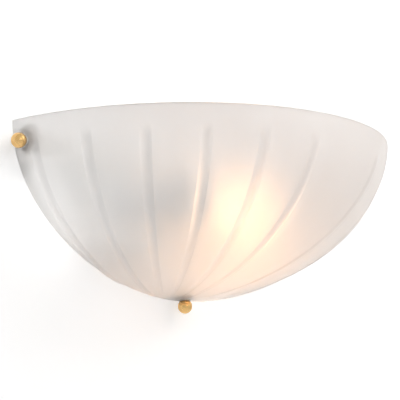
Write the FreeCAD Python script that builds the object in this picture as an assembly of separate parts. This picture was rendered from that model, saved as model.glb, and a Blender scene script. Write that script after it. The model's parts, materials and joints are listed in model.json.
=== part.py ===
"""Shell wall sconce: a ribbed half bowl of frosted glass that hangs on a white steel pan
by three brass ball screws, with one lamp lying along the wall inside it.

Millimetres. X runs along the wall, to the right as seen from the room, -Y points out into
the room and +Z is up. The wall is the plane Y = 0. The origin is the middle of the two
slots of the wall bar, on the wall.
"""
import FreeCAD, Part
import os
from math import acos, asin, cos, pi, radians, sin, sqrt, tan

V = FreeCAD.Vector

# ---------------------------------------------------------------- driving dimensions (mm)
# glass bowl
rim_height = 50.0            # rim of the glass above the wall bar's centre line
bowl_half_width = 180.0      # 14 inch glass
bowl_reach = 204.0           # front of the rim, from the bowl's own centre line
bowl_behind_wall = 13.5      # the bowl's centre line lies this far behind the wall
bowl_height = 131.0
bowl_power = 1.93            # 2 would be an ellipse; a little less is a little leaner
glass_thickness = 4.0
glass_wall_gap = 2.0         # the ground back edge stays clear of the wall
glass_hole_radius = 3.0

# ribs pressed on the outside of the glass
rib_count = 12
rib_pitch_deg = 14.42        # angle from rib to rib, seen from above
rib_half_width_deg = 1.9
rib_height = 2.4
rib_start_drop = 13.0        # plain band under the rim, before a rib begins
rib_full_drop = 30.0         # depth under the rim at which it is full
rib_end_radius = 26.0        # it dies out this near the bowl's centre line
rib_fade_length = 40.0

# ball screws
side_screw_drop = 18.0       # under the rim
side_screw_out = 14.0        # from the wall
bottom_screw_out = 11.0
screw_radius = 2.0
screw_pitch = 0.8            # its ends are chamfered by a little over half a turn
screw_end_out = 3.0          # end of the screw beyond its nut
ball_radius = 6.35           # half-inch ball
ball_neck_radius = 4.8
ball_neck_length = 0.6
screw_in_ball = 7.0          # the screw is pressed this far into the ball
outer_washer_radius = 4.6
outer_washer_thickness = 0.8
inner_washer_radius = 8.5
inner_washer_thickness = 4.0

# sheet steel
sheet = 1.5                  # ears, wall bar and lamp bracket
pan_sheet = 1.0
pan_half_width = 120.0
pan_top_drop = 10.0          # top of the pan under the rim
pan_side = 14.0              # straight part of the pan's sides
pan_height = 90.0
pan_depth = 20.0
pan_corner = 6.0             # outside radius of its pressed front edge
ear_width = 18.0
ear_tab_radius = 12.0
ear_lap = 26.0               # how far an ear lies on the pan
ear_drop = 3.0               # side ears' straps sit this far below their screws
rivet_radius = 1.6
rivet_head_radius = 2.9
rivet_head_height = 1.2
rivet_spacing = 11.0
ear_nut_flats = 7.0
ear_nut_height = 3.2

# wall bar and the studs that carry the pan
bar_half_length = 54.0
bar_width = 20.0
bar_foot_length = 18.0
bar_rise = 6.0               # the middle stands off the wall, over the stud heads
bar_slope = 3.0
slot_spacing = 88.9          # 3 1/2 inch outlet box
slot_length = 12.0
slot_radius = 2.4
bar_centre_radius = 5.2
stud_spacing = 50.0
stud_radius = 2.1
stud_head_radius = 3.6
stud_head_height = 2.4
stud_end_out = 2.0
stud_nut_flats = 7.5
stud_nut_height = 3.0
thumb_nut_radius = 5.5
thumb_nut_height = 6.0
thumb_nut_collar = 2.0

# lamp and holder
lamp_out = 66.0              # axis of the lamp, from the wall
lamp_up = -6.0               # and above the wall bar's centre line
lamp_tip_x = -56.0           # end contact of the lamp, fully screwed in
globe_radius = 30.0
globe_from_tip = 78.0
lamp_neck_radius = 14.5
lamp_neck_sweep = 40.0       # radius of the hollow curve from neck to globe
lamp_glass = 1.2
cap_radius = 13.1
cap_sheet = 0.5
cap_length = 25.0
cap_shoulder = 5.0
cap_foot_share = 0.75        # its rolled-in foot, as a share of its radius
tip_head_radius = 4.4
tip_head_height = 1.2
tip_shank_radius = 3.0
tip_shank_length = 3.0
stem_radius = 5.0
stem_length = 34.0
filament_half_span = 11.0
filament_radius = 0.5
filament_stem_out = 4.0      # its supports run straight this far out of the stem
filament_height = 18.0       # from the stem's end to the filament
filament_bend = 1.5
stem_flare = 3.6             # length of the stem's flared foot
holder_radius = 19.0
holder_bore_depth = 24.0
holder_floor = 7.0
holder_edge = 2.0
shell_sheet = 0.5
shell_length = 22.0
tongue_width = 8.0
tongue_length = 18.0
tongue_sheet = 0.5
bracket_width = 24.0
bracket_foot = 26.0
bracket_bend = 3.0
holder_screw_radius = 2.0
holder_screw_spread = 8.0
holder_screw_depth = 5.5
machine_head_radius = 3.5
machine_head_height = 2.2
foot_screw_radius = 2.0
foot_screw_inset = 7.0
foot_screw_spacing = 11.0
foot_nut_height = 3.0
foot_nut_flats = 7.0

# wiring
wire_radius = 1.1
wire_spread = 5.0            # the two leads, either side of the lamp's axis
wire_set_in = 3.5            # from the back of the holder
wire_seat = 6.0              # how far a lead goes into the holder
wire_gap = 0.6               # between the two leads where they run side by side
live_drop = 6.0              # a lead's straight drop out of the holder
neutral_drop = 14.0
lead_turn_in = 26.0          # the leads turn towards the grommet this far in from the lamp
lead_shift = 7.0             # and this far along the lamp
lead_sag = 6.0               # and this far under the grommet
lead_straight = 9.0          # straight run in front of the grommet
lead_step = 8.0              # the leads part over this length, behind the pan
lead_bend = 6.0
lead_step_bend = 3.2
terminal_head_radius = 2.4
terminal_head_height = 1.5
terminal_shank_radius = 1.5
grommet_x = -46.0
grommet_z = -23.0
grommet_hole = 6.0
grommet_bore = 4.4
grommet_lip = 1.6
grommet_lip_height = 1.5
pole_length = 18.0           # push-in connectors
pole_width = 9.0
pole_height = 9.0
pole_edge = 1.5
pole_x = -26.0
pole_spacing = 11.0
pole_out = 10.5
pole_bore_depth = 8.0
supply_bore = 1.4
bar_earth_x = 12.0
pan_earth_x = 62.0
pan_earth_z = 6.0
earth_screw_radius = 2.0
earth_head_radius = 4.0
earth_head_height = 2.2
lug_radius = 4.0
lug_sheet = 0.8
lug_barrel_radius = 1.7
lug_barrel_length = 7.0
earth_wire_radius = 0.9
earth_loop_height = 22.0     # top of the earth wire's loop at the bar, above its centre
earth_loop_rise = 6.0        # its middle stands this much higher
earth_loop_end_rise = 4.0
earth_bend = 5.0
earth_middle_bend = 18.0

# clearances
running = 0.05               # a turning or pushed fit, on the radius
seat = 0.10                  # between faces of one fixed group
moving_seat = 0.30           # between a face that moves and the one it meets
hole_play = 0.30             # round a screw in a plain hole

rim_z = rim_height


# ---------------------------------------------------------------- helpers
def cylinder(radius, length, base, axis):
    return Part.makeCylinder(radius, length, base, axis)


def ring(outer, inner, length, base, axis):
    return cylinder(outer, length, base, axis).cut(cylinder(inner, length, base, axis))


def box_between(low, high):
    size = high.sub(low)
    return Part.makeBox(size.x, size.y, size.z, low)


def hexagon(flats, height, base, axis, bore):
    """A hex nut with a plain bore, its corners broken."""
    corner = flats / 2 / cos(pi / 6)
    points = [V(corner * cos(i * pi / 3), corner * sin(i * pi / 3), 0) for i in range(7)]
    prism = Part.Face(Part.makePolygon(points)).extrude(V(0, 0, height))
    rounding = Part.makeCylinder(corner, height)
    bevel = corner - flats / 2
    rounding = rounding.makeChamfer(bevel * 0.6, rounding.Edges[0:1] + rounding.Edges[2:3])
    nut = prism.common(rounding).cut(Part.makeCylinder(bore, height))
    nut.Placement = FreeCAD.Placement(base, FreeCAD.Rotation(V(0, 0, 1), axis))
    return nut


def dome(radius, height, base, axis):
    """A low round head: the cap of a sphere standing on base."""
    sphere_radius = (radius ** 2 + height ** 2) / (2 * height)
    ball = Part.makeSphere(sphere_radius, V(0, 0, height - sphere_radius))
    cap = ball.common(Part.makeCylinder(radius * 1.01, height))
    cap.Placement = FreeCAD.Placement(base, FreeCAD.Rotation(V(0, 0, 1), axis))
    return cap


def pan_head(radius, height, base, axis):
    """A screw head with a rounded edge and a slot."""
    head = Part.makeCylinder(radius, height)
    head = head.makeFillet(height * 0.45, [head.Edges[0]])
    slot = Part.makeBox(3 * radius, radius * 0.3, height * 0.5,
                        V(-1.5 * radius, -0.15 * radius, height * 0.6))
    head = head.cut(slot)
    head.Placement = FreeCAD.Placement(base, FreeCAD.Rotation(V(0, 0, 1), axis))
    return head


def turned(profile_edges, origin, axis_x):
    """Solid turned about the local X axis from edges in the local XY plane."""
    face = Part.Face(Part.Wire(profile_edges))
    solid = face.revolve(V(0, 0, 0), V(1, 0, 0), 360)
    solid.Placement = FreeCAD.Placement(origin, FreeCAD.Rotation(V(1, 0, 0), axis_x))
    return solid


def polyline(points):
    return [Part.LineSegment(a, b).toShape() for a, b in zip(points, points[1:])]


def tube(points, radius, bends):
    """A round wire along straight runs joined by arcs that touch both runs."""
    edges = []
    start = points[0]
    for here, back, ahead, bend in zip(points[1:-1], points[:-2], points[2:], bends):
        to_back = back.sub(here).normalize()
        to_ahead = ahead.sub(here).normalize()
        half_angle = acos(max(-1.0, min(1.0, to_back.dot(to_ahead)))) / 2
        reach = bend / tan(half_angle)
        enter = here.add(V(to_back).multiply(reach))
        leave = here.add(V(to_ahead).multiply(reach))
        inward = to_back.add(to_ahead).normalize()
        centre = here.add(V(inward).multiply(bend / sin(half_angle)))
        middle = centre.sub(V(inward).multiply(bend))
        edges.append(Part.LineSegment(start, enter).toShape())
        edges.append(Part.Arc(enter, middle, leave).toShape())
        start = leave
    edges.append(Part.LineSegment(start, points[-1]).toShape())
    path = Part.Wire(edges)
    first = points[1].sub(points[0]).normalize()
    section = Part.Wire(Part.makeCircle(radius, points[0], first))
    solid = path.makePipeShell([section], True, False)
    print("wire: volume / (section x length) = %.4f, bends %s"
          % (solid.Volume / (pi * radius ** 2 * path.Length), bends))
    return solid


def group(shapes):
    return Part.makeCompound(shapes)


def mirror_x(shape):
    return shape.mirror(V(0, 0, 0), V(1, 0, 0))


# ---------------------------------------------------------------- the bowl's surface
def bowl_shrink(depth_share):
    """Share of the rim's size that is left at this share of the bowl's height."""
    return (1 - depth_share ** bowl_power) ** (1 / bowl_power)


def bowl_point(shrink, depth_share, angle):
    return V(bowl_half_width * shrink * cos(angle),
             bowl_behind_wall - bowl_reach * shrink * sin(angle),
             rim_z - bowl_height * depth_share)


def bowl_normal(shrink, depth_share, angle):
    slope = shrink ** (bowl_power - 1)
    return V(slope * cos(angle) / bowl_half_width,
             -slope * sin(angle) / bowl_reach,
             -depth_share ** (bowl_power - 1) / bowl_height).normalize()


def smooth_step(value, low, high):
    share = max(0.0, min(1.0, (value - low) / (high - low)))
    return share * share * (3 - 2 * share)


def rib_rise(shrink, depth_share, angle):
    """Height of the nearest rib above the plain bowl."""
    pitch = radians(rib_pitch_deg)
    place = (angle - pi / 2) / pitch + rib_count / 2 - 0.5
    nearest = max(0, min(rib_count - 1, round(place)))
    offset = (place - nearest) * rib_pitch_deg / rib_half_width_deg
    if abs(offset) >= 1:
        return 0.0
    drop = bowl_height * depth_share
    radius = bowl_half_width * shrink
    rise = smooth_step(drop, rib_start_drop, rib_full_drop)
    rise *= smooth_step(radius, rib_end_radius, rib_end_radius + rib_fade_length)
    return rib_height * rise * cos(offset * pi / 2) ** 2


def rib_angles():
    """Columns of the surface, radians: seven over a rib, three between ribs, and the ends."""
    first = 90 - rib_pitch_deg * (rib_count - 1) / 2
    columns = [0.0, (first - rib_half_width_deg) / 2]
    for i in range(rib_count):
        centre = first + i * rib_pitch_deg
        columns += [centre + rib_half_width_deg * k / 3 for k in range(-3, 4)]
        if i < rib_count - 1:
            between = rib_pitch_deg - 2 * rib_half_width_deg
            columns += [centre + rib_half_width_deg + between * k / 4 for k in (1, 2, 3)]
    columns += [180 - columns[1], 180.0]
    return [radians(c) for c in columns]


def bowl_rows():
    """Rows of the surface: turns from the rim towards the bowl's centre line, radians."""
    count = 30
    end = pi / 2 * 0.962
    return [end * i / count for i in range(count + 1)]


def curve_through(points, places):
    curve = Part.BSplineCurve()
    curve.interpolate(Points=points, Parameters=places)
    return curve


def bowl_face(inset, ribbed):
    """One smooth surface through a grid of points worked out on the bowl."""
    columns, rows = rib_angles(), bowl_rows()
    down = []
    for angle in columns:
        line = []
        for turn in rows:
            depth_share = sin(turn) ** (2 / bowl_power)
            shrink = bowl_shrink(depth_share)
            rise = rib_rise(shrink, depth_share, angle) if ribbed else 0.0
            out = bowl_normal(shrink, depth_share, angle).multiply(rise - inset)
            line.append(bowl_point(shrink, depth_share, angle).add(out))
        down.append(curve_through(line, rows))
    across = [curve_through(list(points), columns)
              for points in zip(*[curve.getPoles() for curve in down])]
    poles = list(zip(*[curve.getPoles() for curve in across]))
    surface = Part.BSplineSurface()
    surface.buildFromPolesMultsKnots(
        [list(line) for line in poles],
        across[0].getMultiplicities(), down[0].getMultiplicities(),
        across[0].getKnots(), down[0].getKnots(), False, False, 3, 3)
    return surface.toShape()


def spot_on_bowl(out_from_wall, depth_share, side):
    """Point and outward direction on the plain bowl; side -1 left, 0 bottom, 1 right."""
    if side:
        shrink = bowl_shrink(depth_share)
        angle = asin((bowl_behind_wall + out_from_wall) / (bowl_reach * shrink))
        if side < 0:
            angle = pi - angle
    else:
        shrink = (bowl_behind_wall + out_from_wall) / bowl_reach
        depth_share = (1 - shrink ** bowl_power) ** (1 / bowl_power)
        angle = pi / 2
    return bowl_point(shrink, depth_share, angle), bowl_normal(shrink, depth_share, angle)


side_share = side_screw_drop / bowl_height
SPOTS = {"left": spot_on_bowl(side_screw_out, side_share, -1),
         "bottom": spot_on_bowl(bottom_screw_out, 0, 0),
         "right": spot_on_bowl(side_screw_out, side_share, 1)}


def along(spot, distance):
    """Point on a ball screw's axis, measured outwards from the glass."""
    point, outward = spot
    return point.add(V(outward).multiply(distance))


# ---------------------------------------------------------------- glass and ball screws
def glass_shade():
    outer = bowl_face(0.0, True)
    inner = bowl_face(glass_thickness, False)
    sides = []
    for outer_edge in outer.Edges:
        middle = outer_edge.valueAt((outer_edge.FirstParameter + outer_edge.LastParameter) / 2)
        nearest = min(inner.Edges, key=lambda e: e.distToShape(Part.Vertex(middle))[0])
        sides.append(Part.makeRuledSurface(outer_edge, nearest))
    shell = Part.makeShell([outer, inner] + sides)
    shell.sewShape()
    bowl = Part.makeSolid(Part.Shell(shell.Faces))
    if bowl.Volume < 0:
        bowl.reverse()
    room = 2 * bowl_half_width
    bowl = bowl.common(box_between(V(-room, -2 * room, -room),
                                   V(room, -glass_wall_gap, 2 * room)))
    for spot in SPOTS.values():
        drill = cylinder(glass_hole_radius, 4 * glass_thickness,
                         along(spot, -2 * glass_thickness), spot[1])
        bowl = bowl.cut(drill)
    return bowl


# stations along a ball screw, from the outer face of the glass, outwards positive
bowl_bend_radius = bowl_height ** 2 / bowl_half_width
inner_washer_gap = inner_washer_radius ** 2 / (2 * bowl_bend_radius) + seat
inner_washer_face = -glass_thickness - inner_washer_gap
tab_face = inner_washer_face - inner_washer_thickness
nut_face = tab_face - sheet
screw_tip = nut_face - ear_nut_height - screw_end_out
washer_face = moving_seat
neck_face = washer_face + outer_washer_thickness + seat
ball_centre = neck_face + ball_neck_length + sqrt(ball_radius ** 2 - ball_neck_radius ** 2)
screw_head_end = neck_face + screw_in_ball


def outer_washer(spot):
    return ring(outer_washer_radius, screw_radius + hole_play, outer_washer_thickness,
                along(spot, washer_face), spot[1])


def inner_washers():
    return group([ring(inner_washer_radius, screw_radius + hole_play,
                       inner_washer_thickness, along(spot, tab_face), spot[1])
                  for spot in SPOTS.values()])


def brass_ball(spot):
    """A ball with a short neck, bored from below for the screw."""
    ball = Part.makeSphere(ball_radius, along(spot, ball_centre), spot[1])
    neck = cylinder(ball_neck_radius, ball_centre - neck_face, along(spot, neck_face), spot[1])
    keep = cylinder(2 * ball_radius, 2 * ball_radius + ball_neck_length,
                    along(spot, neck_face), spot[1])
    bore = cylinder(screw_radius + running, screw_in_ball + seat, along(spot, neck_face),
                    spot[1])
    return ball.fuse(neck).common(keep).cut(bore).removeSplitter()


def ball_screw(spot):
    screw = cylinder(screw_radius, screw_head_end - screw_tip, along(spot, screw_tip), spot[1])
    ends = [e for e in screw.Edges if len(e.Vertexes) == 1]
    return screw.makeChamfer(0.6 * screw_pitch, ends)


def ear_nuts():
    base = nut_face - ear_nut_height
    return group([hexagon(ear_nut_flats, ear_nut_height, along(spot, base), spot[1],
                          screw_radius + running)
                  for spot in SPOTS.values()])


# ---------------------------------------------------------------- pan and ears
pan_top = rim_z - pan_top_drop
pan_bottom = pan_top - pan_height
pan_face = -pan_depth
strap_front = pan_face - sheet


def pan_block(inset, depth):
    """The pan's outline, smaller by inset, standing depth out from the wall."""
    half = pan_half_width - inset
    top = pan_top - inset
    shoulder = pan_top - pan_side
    drop = pan_height - pan_side - inset
    left_top, right_top = V(-half, 0, top), V(half, 0, top)
    left, right = V(-half, 0, shoulder), V(half, 0, shoulder)
    bottom = Part.Ellipse(V(half, 0, shoulder), V(0, 0, shoulder - drop), V(0, 0, shoulder))
    lower = bottom.toShape()
    cutter = box_between(V(-2 * half, -1, shoulder - 2 * drop), V(2 * half, 1, shoulder))
    lower = lower.common(cutter)
    edges = polyline([left, left_top, right_top, right]) + lower.Edges
    outline = Part.Wire(Part.__sortEdges__(edges))
    block = Part.Face(outline).extrude(V(0, -depth, 0))
    if block.Volume < 0:
        block.reverse()
    corners = [e for e in block.Edges
               if abs(e.Vertexes[0].Z - top) < 0.01 and abs(e.Vertexes[-1].Z - top) < 0.01
               and abs(abs(e.Vertexes[0].X) - half) < 0.01
               and abs(e.Vertexes[0].X - e.Vertexes[-1].X) < 0.01]
    block = block.makeFillet(pan_corner + pan_sheet - inset, corners)
    front = [e for e in block.Edges if all(abs(v.Y + depth) < 0.01 for v in e.Vertexes)]
    return block.makeFillet(pan_corner - inset, front)


def rivet_spots():
    """Points on the pan's face where the ears are riveted, with their ear's name."""
    spots = []
    side_z = SPOTS["left"][0].z - ear_drop
    for side in (-1, 1):
        inner = side * (pan_half_width - ear_lap + ear_width / 4)
        spots += [V(inner, pan_face, side_z), V(inner + side * rivet_spacing, pan_face, side_z)]
    upper = pan_bottom + ear_lap - ear_width / 4
    spots += [V(0, pan_face, upper), V(0, pan_face, upper - rivet_spacing)]
    return spots


def rivets():
    shapes = []
    for spot in rivet_spots():
        front = V(spot.x, strap_front, spot.z)
        back = V(spot.x, pan_face + pan_sheet, spot.z)
        shank = cylinder(rivet_radius, sheet + pan_sheet, front, V(0, 1, 0))
        head = dome(rivet_head_radius, rivet_head_height, front, V(0, -1, 0))
        tail = dome(rivet_head_radius, rivet_head_height * 0.8, back, V(0, 1, 0))
        shapes.append(shank.fuse([head, tail]).removeSplitter())
    return group(shapes)


def drill_rivets(shape):
    for spot in rivet_spots():
        shape = shape.cut(cylinder(rivet_radius + running, 3 * pan_depth,
                                   V(spot.x, strap_front - pan_depth, spot.z), V(0, 1, 0)))
    return shape


def ear(spot, strap):
    """A strap on the pan's face, turned back to the wall as a tab under the glass."""
    point, outward = spot
    lead = V(0, -1, 0)
    ahead = lead.sub(V(outward).multiply(lead.dot(outward))).normalize()
    across = outward.cross(ahead)
    base = along(spot, tab_face - sheet)
    frame = FreeCAD.Matrix(ahead.x, across.x, outward.x, base.x,
                           ahead.y, across.y, outward.y, base.y,
                           ahead.z, across.z, outward.z, base.z,
                           0, 0, 0, 1)
    reach = 2 * pan_depth
    tab = Part.makeCylinder(ear_tab_radius, sheet)
    tab = tab.fuse(Part.makeBox(reach, ear_width, sheet, V(0, -ear_width / 2, 0)))
    tab.Placement = FreeCAD.Placement(frame)
    room = 2 * bowl_half_width
    tab = tab.common(box_between(V(-room, strap_front, -room), V(room, 0, room)))
    inside = Part.makeBox(2 * room, 2 * room, room, V(-room, -room, sheet - room))
    inside.Placement = FreeCAD.Placement(frame)
    shape = strap.common(inside).fuse(tab).removeSplitter()
    shape = shape.cut(cylinder(screw_radius + hole_play, 4 * sheet,
                               along(spot, tab_face - 2 * sheet), outward))
    return drill_rivets(shape)


def left_ear():
    middle = SPOTS["left"][0].z - ear_drop
    strap = box_between(V(-bowl_half_width, strap_front, middle - ear_width / 2),
                        V(-pan_half_width + ear_lap, pan_face, middle + ear_width / 2))
    return ear(SPOTS["left"], strap)


def bottom_ear():
    strap = box_between(V(-ear_width / 2, strap_front, rim_z - bowl_height),
                        V(ear_width / 2, pan_face, pan_bottom + ear_lap))
    return ear(SPOTS["bottom"], strap)


def foot_screw_spots():
    inner = lamp_tip_x - holder_back_set - sheet - foot_screw_inset
    return [V(inner - i * foot_screw_spacing, pan_face, lamp_up) for i in range(2)]


def stud_spots():
    return [V(side * stud_spacing / 2, 0, 0) for side in (-1, 1)]


def backplate():
    pan = pan_block(0.0, pan_depth).cut(pan_block(pan_sheet, pan_depth - pan_sheet))
    pan = drill_rivets(pan)
    holes = [(spot, stud_radius + hole_play) for spot in stud_spots()]
    holes += [(spot, foot_screw_radius + hole_play) for spot in foot_screw_spots()]
    holes += [(V(grommet_x, 0, grommet_z), grommet_hole)]
    holes += [(V(pan_earth_x, 0, pan_earth_z), earth_screw_radius + running)]
    for spot, radius in holes:
        pan = pan.cut(cylinder(radius, 3 * pan_depth, V(spot.x, -2 * pan_depth, spot.z),
                               V(0, 1, 0)))
    return pan


# ---------------------------------------------------------------- wall bar and studs
bar_front = -bar_rise - sheet


def wall_bar():
    foot = bar_half_length - bar_foot_length
    top = foot - bar_slope
    half = sheet * 0.5
    back = [V(-bar_half_length, 0, 0), V(-foot, 0, 0), V(-top, -bar_rise, 0),
            V(top, -bar_rise, 0), V(foot, 0, 0), V(bar_half_length, 0, 0)]
    front = [V(bar_half_length, -sheet, 0), V(foot + half, -sheet, 0),
             V(top + half, bar_front, 0), V(-top - half, bar_front, 0),
             V(-foot - half, -sheet, 0), V(-bar_half_length, -sheet, 0)]
    outline = Part.makePolygon(back + front + back[:1])
    bar = Part.Face(outline).extrude(V(0, 0, bar_width))
    bar.translate(V(0, 0, -bar_width / 2))
    upright = [e for e in bar.Edges if abs(abs(e.Vertexes[0].X) - bar_half_length) < 0.01
               and abs(e.Vertexes[0].X - e.Vertexes[-1].X) < 0.01
               and abs(e.Vertexes[0].Z - e.Vertexes[-1].Z) < 0.01]
    bar = bar.makeFillet(bar_width * 0.2, upright)
    out = V(0, -1, 0)
    for side in (-1, 1):
        centre = side * slot_spacing / 2
        run = slot_length / 2 - slot_radius
        deep = 3 * sheet
        ends = [cylinder(slot_radius, deep, V(centre + s * run, sheet, 0), out)
                for s in (-1, 1)]
        middle = box_between(V(centre - run, sheet - deep, -slot_radius),
                             V(centre + run, sheet, slot_radius))
        bar = bar.cut(ends[0].fuse([ends[1], middle]).removeSplitter())
    deep = 2 * bar_rise
    for spot in stud_spots():
        bar = bar.cut(cylinder(stud_radius + running, deep, spot, out))
    bar = bar.cut(cylinder(bar_centre_radius, deep, V(0, 0, 0), out))
    return bar.cut(cylinder(earth_screw_radius + running, deep, V(bar_earth_x, 0, 0), out))


def pan_studs():
    end = pan_face - seat - thumb_nut_height - stud_end_out
    shapes = []
    for spot in stud_spots():
        base = V(spot.x, -bar_rise, spot.z)
        shank = cylinder(stud_radius, -bar_rise - end, base, V(0, -1, 0))
        head = pan_head(stud_head_radius, stud_head_height, base, V(0, 1, 0))
        shapes.append(shank.fuse(head).removeSplitter())
    return group(shapes)


def stud_nuts():
    return group([hexagon(stud_nut_flats, stud_nut_height, V(s.x, bar_front, s.z),
                          V(0, -1, 0), stud_radius + running) for s in stud_spots()])


def thumb_nuts():
    shapes = []
    for spot in stud_spots():
        base = V(spot.x, pan_face - seat, spot.z)
        collar = cylinder(thumb_nut_radius * 0.8, thumb_nut_collar, base, V(0, -1, 0))
        grip_base = V(spot.x, base.y - thumb_nut_collar, spot.z)
        grip = cylinder(thumb_nut_radius, thumb_nut_height - thumb_nut_collar, grip_base,
                        V(0, -1, 0))
        grip = grip.makeChamfer(0.5, [e for e in grip.Edges if len(e.Vertexes) == 1])
        bore = cylinder(stud_radius + running, thumb_nut_height, base, V(0, -1, 0))
        shapes.append(collar.fuse(grip).cut(bore).removeSplitter())
    return group(shapes)


# ---------------------------------------------------------------- lamp holder and bracket
lamp_axis = V(1, 0, 0)
holder_back_set = holder_floor + seat + tongue_sheet + moving_seat
holder_back = lamp_tip_x - holder_back_set
floor_x = holder_back + holder_floor


def on_lamp(x):
    return V(x, -lamp_out, lamp_up)


def wire_starts():
    """Where the two leads sit in the holder: behind the lamp's axis and in front of it."""
    return [V(holder_back + wire_set_in, -lamp_out + side * wire_spread,
              lamp_up - holder_radius + wire_seat) for side in (1, -1)]


def terminal_spots():
    return [V(holder_back, start.y, start.z - wire_seat / 2) for start in wire_starts()]


def holder_screw_spots():
    return [V(holder_back, -lamp_out + side * holder_screw_spread, lamp_up)
            for side in (-1, 1)]


def holder_body():
    body = cylinder(holder_radius, holder_bore_depth + holder_floor, on_lamp(holder_back),
                    lamp_axis)
    body = body.makeFillet(holder_edge, [e for e in body.Edges if len(e.Vertexes) == 1])
    bore_radius = cap_radius + running * 2 + shell_sheet + seat
    body = body.cut(cylinder(bore_radius, 2 * holder_bore_depth, on_lamp(floor_x), lamp_axis))
    for spot in holder_screw_spots():
        body = body.cut(cylinder(holder_screw_radius + running, holder_screw_depth + seat,
                                 spot, lamp_axis))
    for start in wire_starts():
        mouth = V(start.x, start.y, lamp_up - holder_radius - 1)
        body = body.cut(cylinder(wire_radius + seat, wire_seat + 1 + seat, mouth, V(0, 0, 1)))
    for spot in terminal_spots():
        body = body.cut(cylinder(terminal_shank_radius + running, wire_set_in, spot,
                                 lamp_axis))
    return body


def holder_shell():
    inner = cap_radius + running * 2
    return ring(inner + shell_sheet, inner, shell_length, on_lamp(floor_x + seat), lamp_axis)


def holder_tongue():
    """Springy centre contact, lying on the holder's floor with a pip under the lamp."""
    low = V(floor_x, -lamp_out - tongue_width / 2, lamp_up - tongue_length / 2)
    high = V(floor_x + tongue_sheet, -lamp_out + tongue_width / 2, lamp_up + tongue_length / 2)
    return box_between(low, high).removeSplitter()


def holder_bracket():
    plate_back = holder_back - sheet
    half = bracket_width / 2
    upright = box_between(V(plate_back, -lamp_out, lamp_up - half),
                          V(holder_back, pan_face, lamp_up + half))
    upright = upright.fuse(cylinder(half, sheet, V(plate_back, -lamp_out, lamp_up), lamp_axis))
    foot = box_between(V(plate_back - bracket_foot, strap_front, lamp_up - half),
                       V(holder_back, pan_face, lamp_up + half))
    bracket = upright.fuse(foot).removeSplitter()
    bend = [e for e in bracket.Edges
            if all(abs(v.X - plate_back) < 0.01 and abs(v.Y - strap_front) < 0.01
                   for v in e.Vertexes)]
    bracket = bracket.makeFillet(bracket_bend, bend)
    corner = [e for e in bracket.Edges
              if all(abs(v.X - holder_back) < 0.01 and abs(v.Y - pan_face) < 0.01
                     for v in e.Vertexes)]
    bracket = bracket.makeFillet(bracket_bend * 0.5, corner)
    for spot in holder_screw_spots():
        bracket = bracket.cut(cylinder(holder_screw_radius + hole_play, 4 * sheet,
                                       V(plate_back - sheet, spot.y, spot.z), lamp_axis))
    for spot in foot_screw_spots():
        bracket = bracket.cut(cylinder(foot_screw_radius + hole_play, 4 * sheet,
                                       V(spot.x, strap_front - sheet, spot.z), V(0, 1, 0)))
    return bracket


def holder_screws():
    shapes = []
    for spot in holder_screw_spots():
        base = V(holder_back - sheet, spot.y, spot.z)
        shank = cylinder(holder_screw_radius, sheet + holder_screw_depth, base, lamp_axis)
        head = pan_head(machine_head_radius, machine_head_height, base, V(-1, 0, 0))
        shapes.append(shank.fuse(head).removeSplitter())
    return group(shapes)


def terminal_screws():
    length = wire_set_in - wire_radius - seat
    shapes = []
    for spot in terminal_spots():
        shank = cylinder(terminal_shank_radius, length, spot, lamp_axis)
        head = pan_head(terminal_head_radius, terminal_head_height, spot, V(-1, 0, 0))
        shapes.append(shank.fuse(head).removeSplitter())
    return group(shapes)


def foot_screws():
    length = sheet + pan_sheet + foot_nut_height + 1.0
    shapes = []
    for spot in foot_screw_spots():
        base = V(spot.x, strap_front, spot.z)
        shank = cylinder(foot_screw_radius, length, base, V(0, 1, 0))
        head = pan_head(machine_head_radius, machine_head_height, base, V(0, -1, 0))
        shapes.append(shank.fuse(head).removeSplitter())
    return group(shapes)


def foot_nuts():
    return group([hexagon(foot_nut_flats, foot_nut_height,
                          V(s.x, pan_face + pan_sheet, s.z), V(0, 1, 0),
                          foot_screw_radius + running) for s in foot_screw_spots()])


# ---------------------------------------------------------------- the lamp
globe_x = globe_from_tip
sweep_x = globe_x - sqrt((globe_radius + lamp_neck_sweep) ** 2
                         - (lamp_neck_radius + lamp_neck_sweep) ** 2)


def lamp_profile(inset, start):
    """Half outline of the lamp's glass, inset from the outside, from x = start to the axis."""
    neck = lamp_neck_radius - inset
    sweep = lamp_neck_sweep + inset
    globe = globe_radius - inset
    centre = V(sweep_x, lamp_neck_radius + lamp_neck_sweep, 0)
    to_globe = V(globe_x, 0, 0).sub(centre).normalize()
    join = centre.add(V(to_globe).multiply(sweep))
    lean = V(0, -1, 0).add(to_globe).normalize()
    half = centre.add(lean.multiply(sweep))
    first = V(start, neck, 0)
    bottom = V(sweep_x, neck, 0)
    top_angle = acos((join.x - globe_x) / globe) / 2
    crown = V(globe_x + globe * cos(top_angle), globe * sin(top_angle), 0)
    end = V(globe_x + globe, 0, 0)
    return [Part.LineSegment(first, bottom).toShape(),
            Part.Arc(bottom, half, join).toShape(),
            Part.Arc(join, crown, end).toShape()]


def lamp_turned(edges):
    return turned(edges, on_lamp(lamp_tip_x), lamp_axis)


def lamp_glass_envelope():
    start = cap_length + seat
    outer = lamp_profile(0.0, start)
    inner = lamp_profile(lamp_glass, start)
    crown = V(globe_x + globe_radius, 0, 0)
    closing = [Part.LineSegment(crown, crown.sub(V(lamp_glass, 0, 0))).toShape(),
               Part.LineSegment(V(start, lamp_neck_radius - lamp_glass, 0),
                                V(start, lamp_neck_radius, 0)).toShape()]
    return lamp_turned(Part.__sortEdges__(outer + inner + closing))


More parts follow.
